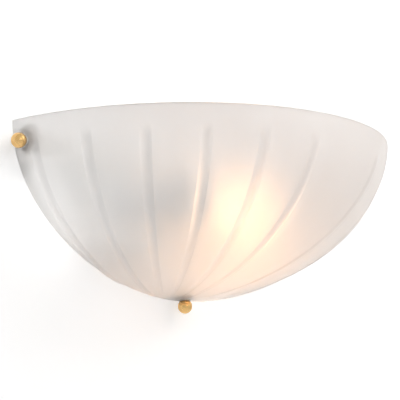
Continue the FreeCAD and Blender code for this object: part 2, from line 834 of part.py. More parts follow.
def lamp_cap():
    """Thin screw cap, rolled in to the neck of the glass and down to the insulator."""
    shoulder = cap_radius * cap_foot_share
    outline = [V(cap_length, cap_radius - cap_sheet, 0), V(cap_length, cap_radius, 0),
               V(cap_shoulder, cap_radius, 0), V(cap_shoulder * 0.5, shoulder, 0),
               V(cap_shoulder * 0.5, shoulder - cap_sheet, 0),
               V(cap_shoulder + cap_sheet, cap_radius - cap_sheet, 0)]
    return lamp_turned(polyline(outline + outline[:1]))


def lamp_insulator():
    outer = cap_radius * cap_foot_share - cap_sheet - seat
    hole = tip_shank_radius + running
    outline = [V(tip_head_height + seat, hole, 0), V(tip_head_height + seat, outer * 0.8, 0),
               V(cap_shoulder * 0.5, outer, 0), V(cap_shoulder, outer, 0),
               V(cap_shoulder, hole, 0)]
    return lamp_turned(polyline(outline + outline[:1]))


def lamp_tip():
    head = cylinder(tip_head_radius, tip_head_height, on_lamp(lamp_tip_x), lamp_axis)
    head = head.makeFillet(tip_head_height * 0.6, [head.Edges[2]])
    shank = cylinder(tip_shank_radius, tip_shank_length,
                     on_lamp(lamp_tip_x + tip_head_height), lamp_axis)
    return head.fuse(shank).removeSplitter()


def lamp_stem():
    """Glass stem that seals the neck and carries the filament's supports."""
    start = cap_length + seat
    end = start + stem_length
    wall = lamp_neck_radius - lamp_glass - seat
    outline = [V(start, 0, 0), V(start, wall, 0), V(start + lamp_glass, wall, 0),
               V(start + stem_flare, stem_radius, 0), V(end - stem_radius, stem_radius, 0),
               V(end, stem_radius * 0.4, 0), V(end, 0, 0)]
    return lamp_turned(polyline(outline + outline[:1]))


def lamp_filament():
    """Two supports and the wire between them, one bent piece of metal."""
    base = lamp_tip_x + cap_length + seat + stem_length
    out = base + filament_stem_out
    top = base + filament_height
    spread = stem_radius * 0.2
    places = [(base, spread), (out, spread), (top, filament_half_span),
              (top, -filament_half_span), (out, -spread), (base, -spread)]
    points = [V(x, -lamp_out, lamp_up + z) for x, z in places]
    return tube(points, filament_radius, [filament_bend] * 4)


# ---------------------------------------------------------------- wiring
def pole_places():
    """Centres of the two push-in connectors, behind the pan."""
    return [V(pole_x, -pole_out, grommet_z + side * pole_spacing / 2) for side in (1, -1)]


def leads():
    """The live and the neutral wire, from the holder through the grommet to the connectors."""
    shapes = []
    for start, pole, side, drop in zip(wire_starts(), pole_places(), (1, -1),
                                       (live_drop, neutral_drop)):
        level = grommet_z + side * (wire_radius + wire_gap / 2)
        low = lamp_up - holder_radius - drop
        end = V(pole.x - pole_length / 2 + pole_bore_depth - seat, pole.y, pole.z)
        points = [start, V(start.x, start.y, low),
                  V(start.x + lead_shift, -lamp_out + lead_turn_in, level - lead_sag),
                  V(grommet_x, pan_face - lead_straight, level),
                  V(grommet_x, pole.y, level), V(grommet_x + lead_step, pole.y, pole.z), end]
        shapes.append(tube(points, wire_radius, [lead_bend] * 3 + [lead_step_bend] * 2))
    return shapes


def grommet():
    out = V(0, -1, 0)
    neck_base = V(grommet_x, pan_face + pan_sheet, grommet_z)
    body = cylinder(grommet_hole - seat, pan_sheet, neck_base, out)
    front = cylinder(grommet_hole + grommet_lip, grommet_lip_height,
                     V(grommet_x, pan_face, grommet_z), out)
    back = cylinder(grommet_hole + grommet_lip, grommet_lip_height, neck_base, V(0, 1, 0))
    front = front.makeFillet(grommet_lip_height * 0.6, [front.Edges[0]])
    bore = cylinder(grommet_bore, 4 * grommet_lip_height,
                    V(grommet_x, pan_face + 2 * grommet_lip_height, grommet_z), out)
    return body.fuse([front, back]).cut(bore).removeSplitter()


def connectors():
    shapes = []
    for place in pole_places():
        half = V(pole_length / 2, pole_height / 2, pole_width / 2)
        block = box_between(place.sub(half), place.add(half))
        block = block.makeFillet(pole_edge, [e for e in block.Edges
                                             if abs(e.Vertexes[0].X - e.Vertexes[-1].X) > 1])
        left = V(place.x - pole_length / 2, place.y, place.z)
        right = V(place.x + pole_length / 2, place.y, place.z)
        block = block.cut(cylinder(wire_radius + seat, pole_bore_depth, left, V(1, 0, 0)))
        block = block.cut(cylinder(supply_bore, pole_bore_depth, right, V(-1, 0, 0)))
        shapes.append(block)
    return group(shapes)


def earth_ends():
    """Each earth screw's seat, its axis and the direction in which its lug points."""
    bar_seat = V(bar_earth_x, bar_front, 0)
    pan_seat = V(pan_earth_x, pan_face + pan_sheet, pan_earth_z)
    return [(bar_seat, V(0, -1, 0), V(0, 0, 1)), (pan_seat, V(0, 1, 0), V(0, 0, 1))]


def earth_screws():
    shapes = []
    for base, out, _ in earth_ends():
        head_base = base.add(V(out).multiply(lug_sheet + seat))
        through = lug_sheet + seat + sheet + 0.5
        shank = cylinder(earth_screw_radius, through, head_base, V(out).multiply(-1))
        head = pan_head(earth_head_radius, earth_head_height, head_base, out)
        shapes.append(shank.fuse(head).removeSplitter())
    return group(shapes)


def lug_wire_start(end):
    """Point on the wire's line where it enters the lug's barrel, and the way it leaves."""
    base, out, way = end
    lift = V(out).multiply(lug_barrel_radius)
    return base.add(lift).add(V(way).multiply(lug_radius + lug_barrel_length * 0.4)), way


def earth_lugs():
    shapes = []
    for base, out, way in earth_ends():
        hole = cylinder(earth_screw_radius + running, lug_sheet, base, out)
        eye = cylinder(lug_radius, lug_sheet, base, out)
        foot = base.add(V(out).multiply(lug_barrel_radius)).add(V(way).multiply(lug_radius))
        barrel = cylinder(lug_barrel_radius, lug_barrel_length, foot, way)
        side = V(lug_barrel_radius, 0, 0)
        tail_low = base.sub(side)
        tail_high = base.add(side).add(V(way).multiply(lug_radius + 1.0))
        tail_high = tail_high.add(V(out).multiply(lug_sheet))
        low = V(min(tail_low.x, tail_high.x), min(tail_low.y, tail_high.y),
                min(tail_low.z, tail_high.z))
        high = V(max(tail_low.x, tail_high.x), max(tail_low.y, tail_high.y),
                 max(tail_low.z, tail_high.z))
        lug = eye.fuse([box_between(low, high), barrel]).cut(hole)
        wire_seat_at = foot.add(V(way).multiply(lug_barrel_length * 0.3))
        lug = lug.cut(cylinder(earth_wire_radius + running, lug_barrel_length, wire_seat_at, way))
        shapes.append(lug.removeSplitter())
    return group(shapes)


def earth_wire():
    first, second = [lug_wire_start(end)[0] for end in earth_ends()]
    middle = first.add(second).multiply(0.5)
    points = [first, V(first.x, first.y, earth_loop_height),
              V(middle.x, middle.y, earth_loop_height + earth_loop_rise),
              V(second.x, second.y, earth_loop_height + earth_loop_end_rise), second]
    return tube(points, earth_wire_radius, [earth_bend, earth_middle_bend, earth_bend])


# ---------------------------------------------------------------- write the parts
def build():
    live, neutral = leads()
    parts = {
        "glass_shade": glass_shade(),
        "inner_washers": inner_washers(),
        "ear_nuts": ear_nuts(),
        "ear_rivets": rivets(),
        "left_ear": left_ear(),
        "bottom_ear": bottom_ear(),
        "right_ear": mirror_x(left_ear()),
        "backplate": backplate(),
        "wall_bar": wall_bar(),
        "pan_studs": pan_studs(),
        "stud_nuts": stud_nuts(),
        "thumb_nuts": thumb_nuts(),
        "holder_body": holder_body(),
        "holder_shell": holder_shell(),
        "holder_tongue": holder_tongue(),
        "holder_bracket": holder_bracket(),
        "holder_screws": holder_screws(),
        "terminal_screws": terminal_screws(),
        "bracket_screws": foot_screws(),
        "bracket_nuts": foot_nuts(),
        "bulb_glass": lamp_glass_envelope(),
        "bulb_cap": lamp_cap(),
        "bulb_insulator": lamp_insulator(),
        "bulb_tip": lamp_tip(),
        "bulb_stem": lamp_stem(),
        "bulb_filament": lamp_filament(),
        "live_wire": live,
        "neutral_wire": neutral,
        "grommet": grommet(),
        "connectors": connectors(),
        "earth_screws": earth_screws(),
        "earth_lugs": earth_lugs(),
        "earth_wire": earth_wire(),
    }
    for side, spot in SPOTS.items():
        parts[side + "_outer_washer"] = outer_washer(spot)
        parts[side + "_ball"] = brass_ball(spot)
        parts[side + "_screw"] = ball_screw(spot)
    return parts


def main():
    os.makedirs("parts", exist_ok=True)
    for name, shape in build().items():
        solids = shape.Solids
        fine = shape.isValid() and solids and all(s.Volume > 0 for s in solids)
        box = shape.BoundBox
        print("%-20s %s solids %2d volume %9.1f  x %7.2f %7.2f  y %7.2f %7.2f  z %7.2f %7.2f"
              % (name, "ok " if fine else "BAD", len(solids), shape.Volume, box.XMin, box.XMax,
                 box.YMin, box.YMax, box.ZMin, box.ZMax))
        shape.exportStep(os.path.join("parts", name + ".step"))
    for side, (point, outward) in SPOTS.items():
        print("%s screw axis: through (%.4f, %.4f, %.4f) along (%.6f, %.6f, %.6f)"
              % ((side,) + tuple(point) + tuple(outward)))


main()
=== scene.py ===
"""Looks of the shell wall sconce: ribbed, frosted half bowl on a white steel pan, three brass
ball screws and one lit lamp behind the glass. Metres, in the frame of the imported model: X
along the wall, -Y out into the room, +Z up, the wall at Y = 0.
"""
import json
import math

import bpy
from mathutils import Matrix, Quaternion, Vector


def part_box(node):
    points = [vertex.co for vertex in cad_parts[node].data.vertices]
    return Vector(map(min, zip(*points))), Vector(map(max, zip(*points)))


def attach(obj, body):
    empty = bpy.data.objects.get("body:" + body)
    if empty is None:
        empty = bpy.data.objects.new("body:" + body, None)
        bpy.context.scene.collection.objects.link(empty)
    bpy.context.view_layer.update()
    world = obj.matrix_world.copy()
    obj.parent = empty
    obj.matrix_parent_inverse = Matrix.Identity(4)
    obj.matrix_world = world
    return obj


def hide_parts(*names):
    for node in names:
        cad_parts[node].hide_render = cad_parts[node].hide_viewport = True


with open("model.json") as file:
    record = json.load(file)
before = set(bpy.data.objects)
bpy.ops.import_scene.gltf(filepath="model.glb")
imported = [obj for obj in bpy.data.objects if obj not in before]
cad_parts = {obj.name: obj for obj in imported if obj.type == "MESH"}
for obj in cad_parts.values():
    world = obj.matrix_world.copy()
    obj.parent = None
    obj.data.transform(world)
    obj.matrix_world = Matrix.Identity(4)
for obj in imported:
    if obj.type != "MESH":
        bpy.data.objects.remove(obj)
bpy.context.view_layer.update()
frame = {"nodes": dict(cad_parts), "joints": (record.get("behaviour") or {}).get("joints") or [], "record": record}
nodes = frame["nodes"]
joints = {joint["name"]: joint for joint in frame["joints"]}
SIDES = ("left", "bottom", "right")
MM = 0.001


# ---------------------------------------------------------------- camera
LENS = 142.1                      # mm, on a sensor 36 mm wide
CAMERA_DISTANCE = 1.395
CAMERA_TARGET = Vector((0.0285, 0.0, 0.0121))
CAMERA_TURN = math.radians(43.32)     # to the left of straight ahead
CAMERA_RISE = math.radians(10.73)     # it looks up from below


def place_camera():
    look = Vector((math.sin(CAMERA_TURN) * math.cos(CAMERA_RISE),
                   math.cos(CAMERA_TURN) * math.cos(CAMERA_RISE), math.sin(CAMERA_RISE)))
    data = bpy.data.cameras.new("camera")
    data.lens = LENS
    data.sensor_width = 36
    data.clip_start = 0.05
    camera = bpy.data.objects.new("camera", data)
    camera.location = CAMERA_TARGET - look * CAMERA_DISTANCE
    camera.rotation_euler = look.to_track_quat("-Z", "Y").to_euler()
    bpy.context.scene.collection.objects.link(camera)
    bpy.context.scene.camera = camera


# ---------------------------------------------------------------- materials
def colour(code):
    """Linear RGBA of an sRGB hex code."""
    parts = [int(code[i:i + 2], 16) / 255 for i in (1, 3, 5)]
    return tuple(c / 12.92 if c <= 0.04045 else ((c + 0.055) / 1.055) ** 2.4
                 for c in parts) + (1.0,)


def add(tree, kind, settings=None, values=None, links=None):
    """A node with its settings, its sockets' values and the sockets that feed it."""
    node = tree.nodes.new(kind)
    for name, value in (settings or {}).items():
        setattr(node, name, value)
    for name, value in (values or {}).items():
        node.inputs[name].default_value = value
    for name, source in (links or {}).items():
        tree.links.new(source, node.inputs[name])
    return node


def begin(name):
    """An empty material, its tree and its object coordinates."""
    material = bpy.data.materials.new(name)
    material.use_nodes = True
    tree = material.node_tree
    tree.nodes.clear()
    return material, tree, add(tree, "ShaderNodeTexCoord").outputs["Object"]


def end(tree, shader):
    add(tree, "ShaderNodeOutputMaterial", links={"Surface": shader})


def finish(name, low, high, patch, grain, depth, roughness, **sockets):
    """A plain surface: two tones in soft patches, a fine grain as bump, and uneven gloss.
    patch, grain and depth are in millimetres, roughness is its least and most."""
    material, tree, place = begin(name)
    patches = add(tree, "ShaderNodeTexNoise", values={"Scale": 1 / (patch * MM), "Detail": 3.0},
                  links={"Vector": place})
    fine = add(tree, "ShaderNodeTexNoise", values={"Scale": 1 / (grain * MM), "Detail": 4.0},
               links={"Vector": place})
    tone = add(tree, "ShaderNodeMix", {"data_type": "RGBA"},
               {"A": colour(low), "B": colour(high)}, {"Factor": patches.outputs["Fac"]})
    gloss = add(tree, "ShaderNodeMapRange",
                values={"From Min": 0.3, "From Max": 0.7, "To Min": roughness[0],
                        "To Max": roughness[1]},
                links={"Value": patches.outputs["Fac"]})
    bump = add(tree, "ShaderNodeBump", values={"Strength": 1.0, "Distance": depth * MM},
               links={"Height": fine.outputs["Fac"]})
    shader = add(tree, "ShaderNodeBsdfPrincipled", values=sockets,
                 links={"Base Color": tone.outputs["Result"], "Roughness": gloss.outputs["Result"],
                        "Normal": bump.outputs["Normal"]})
    end(tree, shader.outputs["BSDF"])
    return material


def frosted_glass():
    """Pressed soda-lime glass, acid-etched inside and out: it blurs what is behind it, glows
    where the lamp is near, has a satin sheen and the slight waves of the mould."""
    material, tree, place = begin("frosted_pressed_glass")
    waves = add(tree, "ShaderNodeTexNoise", values={"Scale": 1 / 0.045, "Detail": 1.5},
                links={"Vector": place})
    # the etch's pits are far under a pixel, so they are drawn 0.7 mm across
    etch = add(tree, "ShaderNodeTexNoise", values={"Scale": 1 / 0.0007, "Detail": 3.0},
               links={"Vector": place})
    waved = add(tree, "ShaderNodeBump", values={"Strength": 1.0, "Distance": 0.0006},
                links={"Height": waves.outputs["Fac"]})
    normal = add(tree, "ShaderNodeBump", values={"Strength": 1.0, "Distance": 0.00002},
                 links={"Height": etch.outputs["Fac"], "Normal": waved.outputs["Normal"]})
    tone = add(tree, "ShaderNodeMix", {"data_type": "RGBA"},
               {"A": colour("#ebebeb"), "B": colour("#f2f2f2")},
               {"Factor": waves.outputs["Fac"]})
    # painted highlight: by the mesh's curvature, the ribs' crests let less light through than the rest of the
    # glass, so they are milkier and lighter
    shape = add(tree, "ShaderNodeNewGeometry")
    crest = add(tree, "ShaderNodeMapRange",
                values={"From Min": 0.5, "From Max": 0.56, "To Min": 0.83, "To Max": 0.25},
                links={"Value": shape.outputs["Pointiness"]})
    clear = add(tree, "ShaderNodeBsdfPrincipled", values={"Roughness": 0.42, "IOR": 1.52},
                links={"Base Color": tone.outputs["Result"], "Normal": normal.outputs["Normal"],
                       "Transmission Weight": crest.outputs["Result"]})
    milky = add(tree, "ShaderNodeBsdfTranslucent", values={"Color": colour("#f1f0ef")},
                links={"Normal": normal.outputs["Normal"]})
    body = add(tree, "ShaderNodeMixShader", values={"Fac": 0.30},
               links={1: clear.outputs["BSDF"], 2: milky.outputs["BSDF"]})
    # light passes the etched wall instead of being stopped by it
    path = add(tree, "ShaderNodeLightPath")
    through = add(tree, "ShaderNodeBsdfTransparent", values={"Color": colour("#dddbd8")})
    shader = add(tree, "ShaderNodeMixShader",
                 links={"Fac": path.outputs["Is Shadow Ray"], 1: body.outputs["Shader"],
                        2: through.outputs["BSDF"]})
    end(tree, shader.outputs["Shader"])
    return material


LAMP_POWER = 4.8
HOT_SPOT = (-0.012, -0.075, -0.030)     # metres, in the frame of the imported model


def lit_lamp_glass():
    """Lamp glass with a white inside coat, lit: brightest where the filament sags, dimmer
    towards the neck and the crown."""
    material, tree, place = begin("lit_opal_lamp_glass")
    away = add(tree, "ShaderNodeVectorMath", {"operation": "DISTANCE"}, {1: HOT_SPOT},
               {0: place})
    glow = add(tree, "ShaderNodeMapRange", {"interpolation_type": "SMOOTHSTEP"},
               {"From Min": 0.015, "From Max": 0.065, "To Min": 1.0, "To Max": 0.45},
               {"Value": away.outputs["Value"]})
    dust = add(tree, "ShaderNodeTexNoise", values={"Scale": 1 / 0.012, "Detail": 2.0},
               links={"Vector": place})
    uneven = add(tree, "ShaderNodeMapRange", values={"To Min": 0.94, "To Max": 1.06},
                 links={"Value": dust.outputs["Fac"]})
    strength = add(tree, "ShaderNodeMath", {"operation": "MULTIPLY"},
                   links={0: glow.outputs["Result"], 1: uneven.outputs["Result"]})
    power = add(tree, "ShaderNodeMath", {"operation": "MULTIPLY"}, {1: LAMP_POWER},
                {0: strength.outputs["Value"]})
    shader = add(tree, "ShaderNodeBsdfPrincipled",
                 values={"Base Color": colour("#f6f3ea"), "Roughness": 0.22, "IOR": 1.5,
                         "Emission Color": colour("#ffbe82")},
                 links={"Emission Strength": power.outputs["Value"]})
    end(tree, shader.outputs["BSDF"])
    return material


def make_finishes():
    """One finish for each material slot of the record, named for the real material."""
    return {
        "frosted_glass": frosted_glass(),
        "bulb_white_glass": lit_lamp_glass(),
        # baked white enamel on steel: semi-gloss, with faint orange peel
        "white_enamel": finish("baked_white_enamel", "#efeee9", "#f6f5f1", 40, 1.6, 0.012,
                               (0.26, 0.34), **{"Coat Weight": 0.25, "Coat Roughness": 0.12}),
        # bright zinc plate on pressed steel: cool grey with a faint mottle
        "zinc_steel": finish("bright_zinc_plate", "#aeb4bb", "#c9ccd0", 3.5, 0.5, 0.006,
                             (0.26, 0.42), Metallic=1.0),
        # turned brass, polished and lacquered: deep gold
        "polished_brass": finish("polished_lacquered_brass", "#dcae66", "#eac384", 4.0, 0.35,
                                 0.003, (0.20, 0.30), Metallic=1.0,
                                 **{"Coat Weight": 0.5, "Coat Roughness": 0.08}),
        # moulded silicone rubber: matt grey
        "grey_silicone": finish("moulded_grey_silicone", "#a9a29e", "#b8b2ae", 6, 0.4, 0.02,
                                (0.6, 0.75)),
        # moulded white nylon: waxy satin
        "white_nylon": finish("moulded_white_nylon", "#e4e1da", "#efece5", 5, 0.5, 0.006,
                              (0.38, 0.5), **{"Subsurface Weight": 0.15,
                                              "Subsurface Radius": (0.001, 0.001, 0.001)}),
        # glazed white porcelain: hard gloss over a warm white body
        "porcelain": finish("glazed_porcelain", "#ece8de", "#f5f2ea", 14, 3.0, 0.03,
                            (0.10, 0.18), **{"Coat Weight": 0.6, "Coat Roughness": 0.05}),
        # bare stamped brass: duller than the balls, with handling marks
        "shell_brass": finish("bare_stamped_brass", "#b58a48", "#caa15c", 3, 0.25, 0.004,
                              (0.30, 0.46), Metallic=1.0),
        # clear lead glass of the stem
        "bulb_clear_glass": finish("clear_lamp_stem_glass", "#eef3f1", "#f6f9f8", 10, 2.0, 0.01,
                                   (0.02, 0.06), IOR=1.52, **{"Transmission Weight": 1.0}),
        # rolled aluminium cap, bright but finely scratched by the rolls
        "cap_aluminium": finish("rolled_aluminium", "#c3c5c7", "#d8d9da", 2.5, 0.2, 0.004,
                                (0.24, 0.4), Metallic=1.0),
        # black glass of the cap's insulator
        "black_vitrite": finish("black_vitrite", "#08080a", "#121216", 4, 0.8, 0.01,
                                (0.08, 0.16)),
        # dull tin-lead solder
        "solder": finish("dull_solder", "#8f9194", "#b3b4b6", 1.5, 0.5, 0.03, (0.36, 0.6),
                         Metallic=1.0),
        # drawn tungsten and nickel wire
        "tungsten": finish("drawn_tungsten", "#55524f", "#6d6a66", 1, 0.1, 0.002, (0.3, 0.45),
                           Metallic=1.0),
        # soft vinyl insulation in black, white and green: satin, slightly uneven from the die
        "black_sleeve": finish("black_vinyl_insulation", "#0f0f10", "#1b1b1c", 5, 0.6, 0.008,
                               (0.36, 0.5)),
        "white_sleeve": finish("white_vinyl_insulation", "#dfdeda", "#ecebe7", 5, 0.6, 0.008,
                               (0.36, 0.5)),
        "green_sleeve": finish("green_vinyl_insulation", "#17602b", "#237a3a", 5, 0.6, 0.008,
                               (0.36, 0.5)),
        # moulded grey polyamide connector bodies
        "grey_polyamide": finish("moulded_grey_polyamide", "#96999c", "#a5a8aa", 6, 0.4, 0.01,
                                 (0.4, 0.52)),
        # green passivated earth screws
        "green_screw": finish("green_passivated_steel", "#2c6b3c", "#3f8550", 2, 0.3, 0.004,
                              (0.3, 0.44), Metallic=0.8),
        # tinned copper lugs: pale and a little uneven where the tin has run
        "tinned_copper": finish("tinned_copper", "#b9b6b0", "#d0cdc8", 2.5, 0.6, 0.01,
                                (0.26, 0.42), Metallic=1.0),
    }


def dress(obj, slot):
    """Gives a piece the finish of its slot, and no other."""
    obj.data.materials.clear()
    obj.data.materials.append(FINISHES[slot])


# ---------------------------------------------------------------- modelling
SHARP = math.radians(35)          # edges that turn further than this stay sharp


def add_primitive(kind, **how):
    """A new primitive, the only thing selected."""
    bpy.ops.object.select_all(action="DESELECT")
    getattr(bpy.ops.mesh, "primitive_" + kind + "_add")(**how)
    return bpy.context.object


def choose_edges(obj, test):
    """Leaves edit mode open with only the edges whose two ends pass the test."""
    clear_selection("EDGE")
    for edge in obj.data.edges:
        edge.select = test(*[obj.data.vertices[i].co for i in edge.vertices])
    bpy.ops.object.mode_set(mode="EDIT")


def choose_faces(obj, test=lambda centre, normal: True):
    """Leaves edit mode open with only the faces whose centre and normal pass the test."""
    clear_selection("FACE")
    for face in obj.data.polygons:
        face.select = test(face.center, face.normal)
    bpy.ops.object.mode_set(mode="EDIT")


def clear_selection(mode):
    bpy.ops.object.mode_set(mode="EDIT")
    bpy.ops.mesh.select_mode(type=mode)
    bpy.ops.mesh.select_all(action="DESELECT")
    bpy.ops.object.mode_set(mode="OBJECT")


def close_edit():
    """Back to object mode, which writes the edits into the mesh."""
    bpy.ops.object.mode_set(mode="OBJECT")


def settle(obj, point, axis, body, slot, *replaced):
    """Puts a piece made along +Z at its place and hands it over."""
    turn = Vector(axis).to_track_quat("Z", "Y").to_matrix().to_4x4()
    obj.data.transform(Matrix.Translation(point) @ turn)
    hand_over(obj, body, slot, *replaced)


def hand_over(obj, body, slot, *replaced):
    """Shades a piece, gives it its finish and lets it ride on its body."""
    bpy.ops.object.select_all(action="DESELECT")
    obj.select_set(True)
    bpy.context.view_layer.objects.active = obj
    bpy.ops.object.shade_smooth_by_angle(angle=SHARP)
    dress(obj, slot)
    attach(obj, body)
    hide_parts(*replaced)


def span(node, point, axis):
    """How far a CAD node reaches along an axis from a point, as (least, most)."""
    along = [(vertex.co - point).dot(axis) for vertex in nodes[node].data.vertices]
    return min(along), max(along)


# glass bowl, in millimetres as the maker would give them
BOWL_HALF_WIDTH = 180.0
BOWL_REACH = 204.0
BOWL_BEHIND_WALL = 13.5
BOWL_HEIGHT = 131.0
BOWL_POWER = 1.93
GLASS = 4.0
GLASS_WALL_GAP = 2.0
GLASS_HOLE = 3.0
DRILL_ROLL = math.radians(5.4)    # so that none of its corners meets a column of the glass
RIM_ROUND = 1.0                   # fire-polished edges of the rim
RIBS = 12
RIB_PITCH = 14.42                 # degrees from rib to rib, seen from above
RIB_HALF_WIDTH = 1.45             # degrees at the rim
RIB_TAPER = 0.45                  # 0 keeps its angle all the way down, 1 keeps its width
RIB_HEIGHT = 1.7
RIB_START, RIB_FULL = 14.0, 26.0  # under the rim
RIB_END, RIB_FADE = 18.0, 34.0    # from the bowl's centre line
RIB_NARROWEST = 0.12              # share of the rim's width under which a rib no longer widens
RIB_COLUMNS = (-1.05, -0.97, -0.85, -0.6, -0.3, 0.0, 0.3, 0.6, 0.85, 0.97, 1.05)
OUTER_ROWS, RIM_ROWS, INNER_ROWS = 84, 4, 36
ROWS_REACH = 0.962                # of the quarter turn to the crown, whose rest is cut off
DRILL_SIDES = 32


def ease(value, low, high):
    """0 up to low, 1 from high on, and a smooth step between."""
    share = max(0.0, min(1.0, (value - low) / (high - low)))
    return share * share * (3 - 2 * share)


def glass_columns():
    """Columns of the glass: an angle in degrees and a share of a rib's half width, so that
    they keep to the ribs' edges."""
    first = 90 - RIB_PITCH * (RIBS - 1) / 2
    edge = RIB_COLUMNS[-1]
    columns = [(0.0, 0.0), (first / 2, -edge / 2)]
    for rib in range(RIBS):
        centre = first + rib * RIB_PITCH
        columns += [(centre, share) for share in RIB_COLUMNS]
        if rib < RIBS - 1:
            columns += [(centre + RIB_PITCH * k / 4, edge * (1 - k / 2)) for k in (1, 2, 3)]
    return columns + [(180 - first / 2, edge / 2), (180.0, 0.0)]


def glass_rows():
    """Rows of the glass as (depth under the rim, inset): up the outside, round the rim and
    down the inside, in millimetres."""
    def down(count):
        turns = [math.pi / 2 * ROWS_REACH * i / count for i in range(1, count + 1)]
        return [BOWL_HEIGHT * math.sin(turn) ** (2 / BOWL_POWER) for turn in turns]
    rows = [(drop, 0.0) for drop in reversed(down(OUTER_ROWS))]
    for i in range(RIM_ROWS + 1):
        turn = math.pi / 2 * i / RIM_ROWS
        rows.append((RIM_ROUND * (1 - math.sin(turn)), RIM_ROUND * (1 - math.cos(turn))))
    for i in range(RIM_ROWS + 1):
        turn = math.pi / 2 * i / RIM_ROWS
        rows.append((RIM_ROUND * (1 - math.cos(turn)), GLASS - RIM_ROUND * (1 - math.sin(turn))))
    return rows + [(drop, GLASS) for drop in down(INNER_ROWS)]


def glass_point(column, row):
    """A point of the glass, with the ribs' arch on the outside, in metres."""
    (angle, share), (drop, inset) = column, row
    depth = drop / BOWL_HEIGHT
    shrink = (1 - depth ** BOWL_POWER) ** (1 / BOWL_POWER)
    angle = math.radians(angle + share * RIB_HALF_WIDTH / max(shrink, RIB_NARROWEST) ** RIB_TAPER)
    across, out = math.cos(angle), math.sin(angle)
    slope = shrink ** (BOWL_POWER - 1)
    normal = Vector((slope * across / BOWL_HALF_WIDTH, -slope * out / BOWL_REACH,
                     -depth ** (BOWL_POWER - 1) / BOWL_HEIGHT)).normalized()
    rise = 0.0
    if inset == 0.0 and column[0] in RIB_CENTRES and abs(share) < 1:
        rise = RIB_HEIGHT * (1 - share ** 2) * shrink ** (1 - RIB_TAPER)
        rise *= ease(drop, RIB_START, RIB_FULL)
        rise *= ease(BOWL_HALF_WIDTH * shrink, RIB_END, RIB_END + RIB_FADE)
    place = Vector((BOWL_HALF_WIDTH * shrink * across,
                    BOWL_BEHIND_WALL - BOWL_REACH * shrink * out, RIM_Z / MM - drop))
    return (place + normal * (rise - inset)) * MM


RIM_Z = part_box("glass_shade")[1][2]
RIB_CENTRES = {90 + RIB_PITCH * (i - (RIBS - 1) / 2) for i in range(RIBS)}


def glass_bowl():
    """The pressed bowl: one sheet, folded over the rim and cut off at the wall."""
    columns, rows = glass_columns(), glass_rows()
    bowl = add_primitive("grid", x_subdivisions=len(columns) - 1, y_subdivisions=len(rows) - 1,
                         size=1)
    bowl.name = "pressed_glass_bowl"
    for vertex in bowl.data.vertices:
        column = round((vertex.co.x + 0.5) * (len(columns) - 1))
        row = round((vertex.co.y + 0.5) * (len(rows) - 1))
        vertex.co = glass_point(columns[column], rows[row])
    choose_faces(bowl)
    bpy.ops.mesh.bisect(plane_co=(0, -GLASS_WALL_GAP * MM, 0), plane_no=(0, 1, 0),
                        use_fill=True, clear_outer=True)
    bpy.ops.mesh.select_all(action="SELECT")
    bpy.ops.mesh.normals_make_consistent(inside=False)
    close_edit()
    for side in SIDES:
        point, axis = screw_axis(side)
        turn = axis.to_track_quat("Z", "Y") @ Quaternion((0, 0, 1), DRILL_ROLL)
        drill = add_primitive("cylinder", vertices=DRILL_SIDES, radius=GLASS_HOLE * MM,
                              depth=6 * GLASS * MM, location=point, rotation=turn.to_euler())
        bpy.context.view_layer.objects.active = bowl
        hole = bowl.modifiers.new("screw_hole", "BOOLEAN")
        hole.operation, hole.solver, hole.object = "DIFFERENCE", "EXACT", drill
        bpy.ops.object.modifier_apply(modifier=hole.name)
        bpy.data.objects.remove(drill)
    hand_over(bowl, "fixture", "frosted_glass", "glass_shade")


def screw_axis(side):
    """A point on the screw's axis and the axis, which points out of the glass."""
    turn = joints[side + "_screw_turn"]
    return Vector(turn["pos_m"]), Vector(turn["axis"]).normalized()


BALL_RADIUS = 6.35 * MM
NECK_RADIUS = 4.8 * MM
NECK_LENGTH = 0.6 * MM
NECK_LAND = 0.35 * MM             # flat ring left round the mouth of the bore
NECK_EDGE = 0.2 * MM              # rounding where the neck meets the ball, and at its foot
BORE_DEPTH = 7.1 * MM
BORE_PLAY = 0.05 * MM
SCREW_RADIUS = 2.0 * MM
SCREW_PITCH = 0.8 * MM
SCREW_SIDES = 24
ROWS_PER_TURN = 8
THREAD_DEPTH = 0.35 * MM
LEAD_AT_END = 0.25                # share of the full thread left at the rod's very end
END_TAPER = 0.12
TINY, NEAR = 1e-7, 1e-5           # metres


def brass_ball(side, point, axis):
    """Turned ball, cut off at the short neck on which it seats, with a bore for the screw."""
    top = span(side + "_ball", point, axis)[1]
    ball = add_primitive("uv_sphere", segments=64, ring_count=40, radius=BALL_RADIUS)
    ball.name = side + "_ball_turned"
    waist = -math.sqrt(BALL_RADIUS ** 2 - NECK_RADIUS ** 2)
    choose_faces(ball)
    bpy.ops.mesh.bisect(plane_co=(0, 0, waist), plane_no=(0, 0, 1), use_fill=True,
                        clear_inner=True)
    close_edit()
    choose_faces(ball, lambda centre, normal: centre.z < waist + TINY and normal.z < -0.9)
    bpy.ops.mesh.extrude_region_move(TRANSFORM_OT_translate={"value": (0, 0, -NECK_LENGTH)})
    bpy.ops.mesh.inset(thickness=NECK_LAND)
    bpy.ops.mesh.inset(thickness=NECK_RADIUS - SCREW_RADIUS - NECK_LAND - BORE_PLAY)
    bpy.ops.mesh.extrude_region_move(TRANSFORM_OT_translate={"value": (0, 0, BORE_DEPTH)})
    close_edit()

    def at_neck(a, b):
        level = abs(a.z - b.z) < TINY
        height = min(abs(a.z - waist), abs(a.z - waist + NECK_LENGTH)) < TINY
        return level and height and abs(math.hypot(a.x, a.y) - NECK_RADIUS) < NEAR
    choose_edges(ball, at_neck)
    bpy.ops.mesh.bevel(offset=NECK_EDGE, segments=3)
    close_edit()
    settle(ball, point + axis * (top - BALL_RADIUS), axis, side + "_screw_body",
           "polished_brass", side + "_ball")


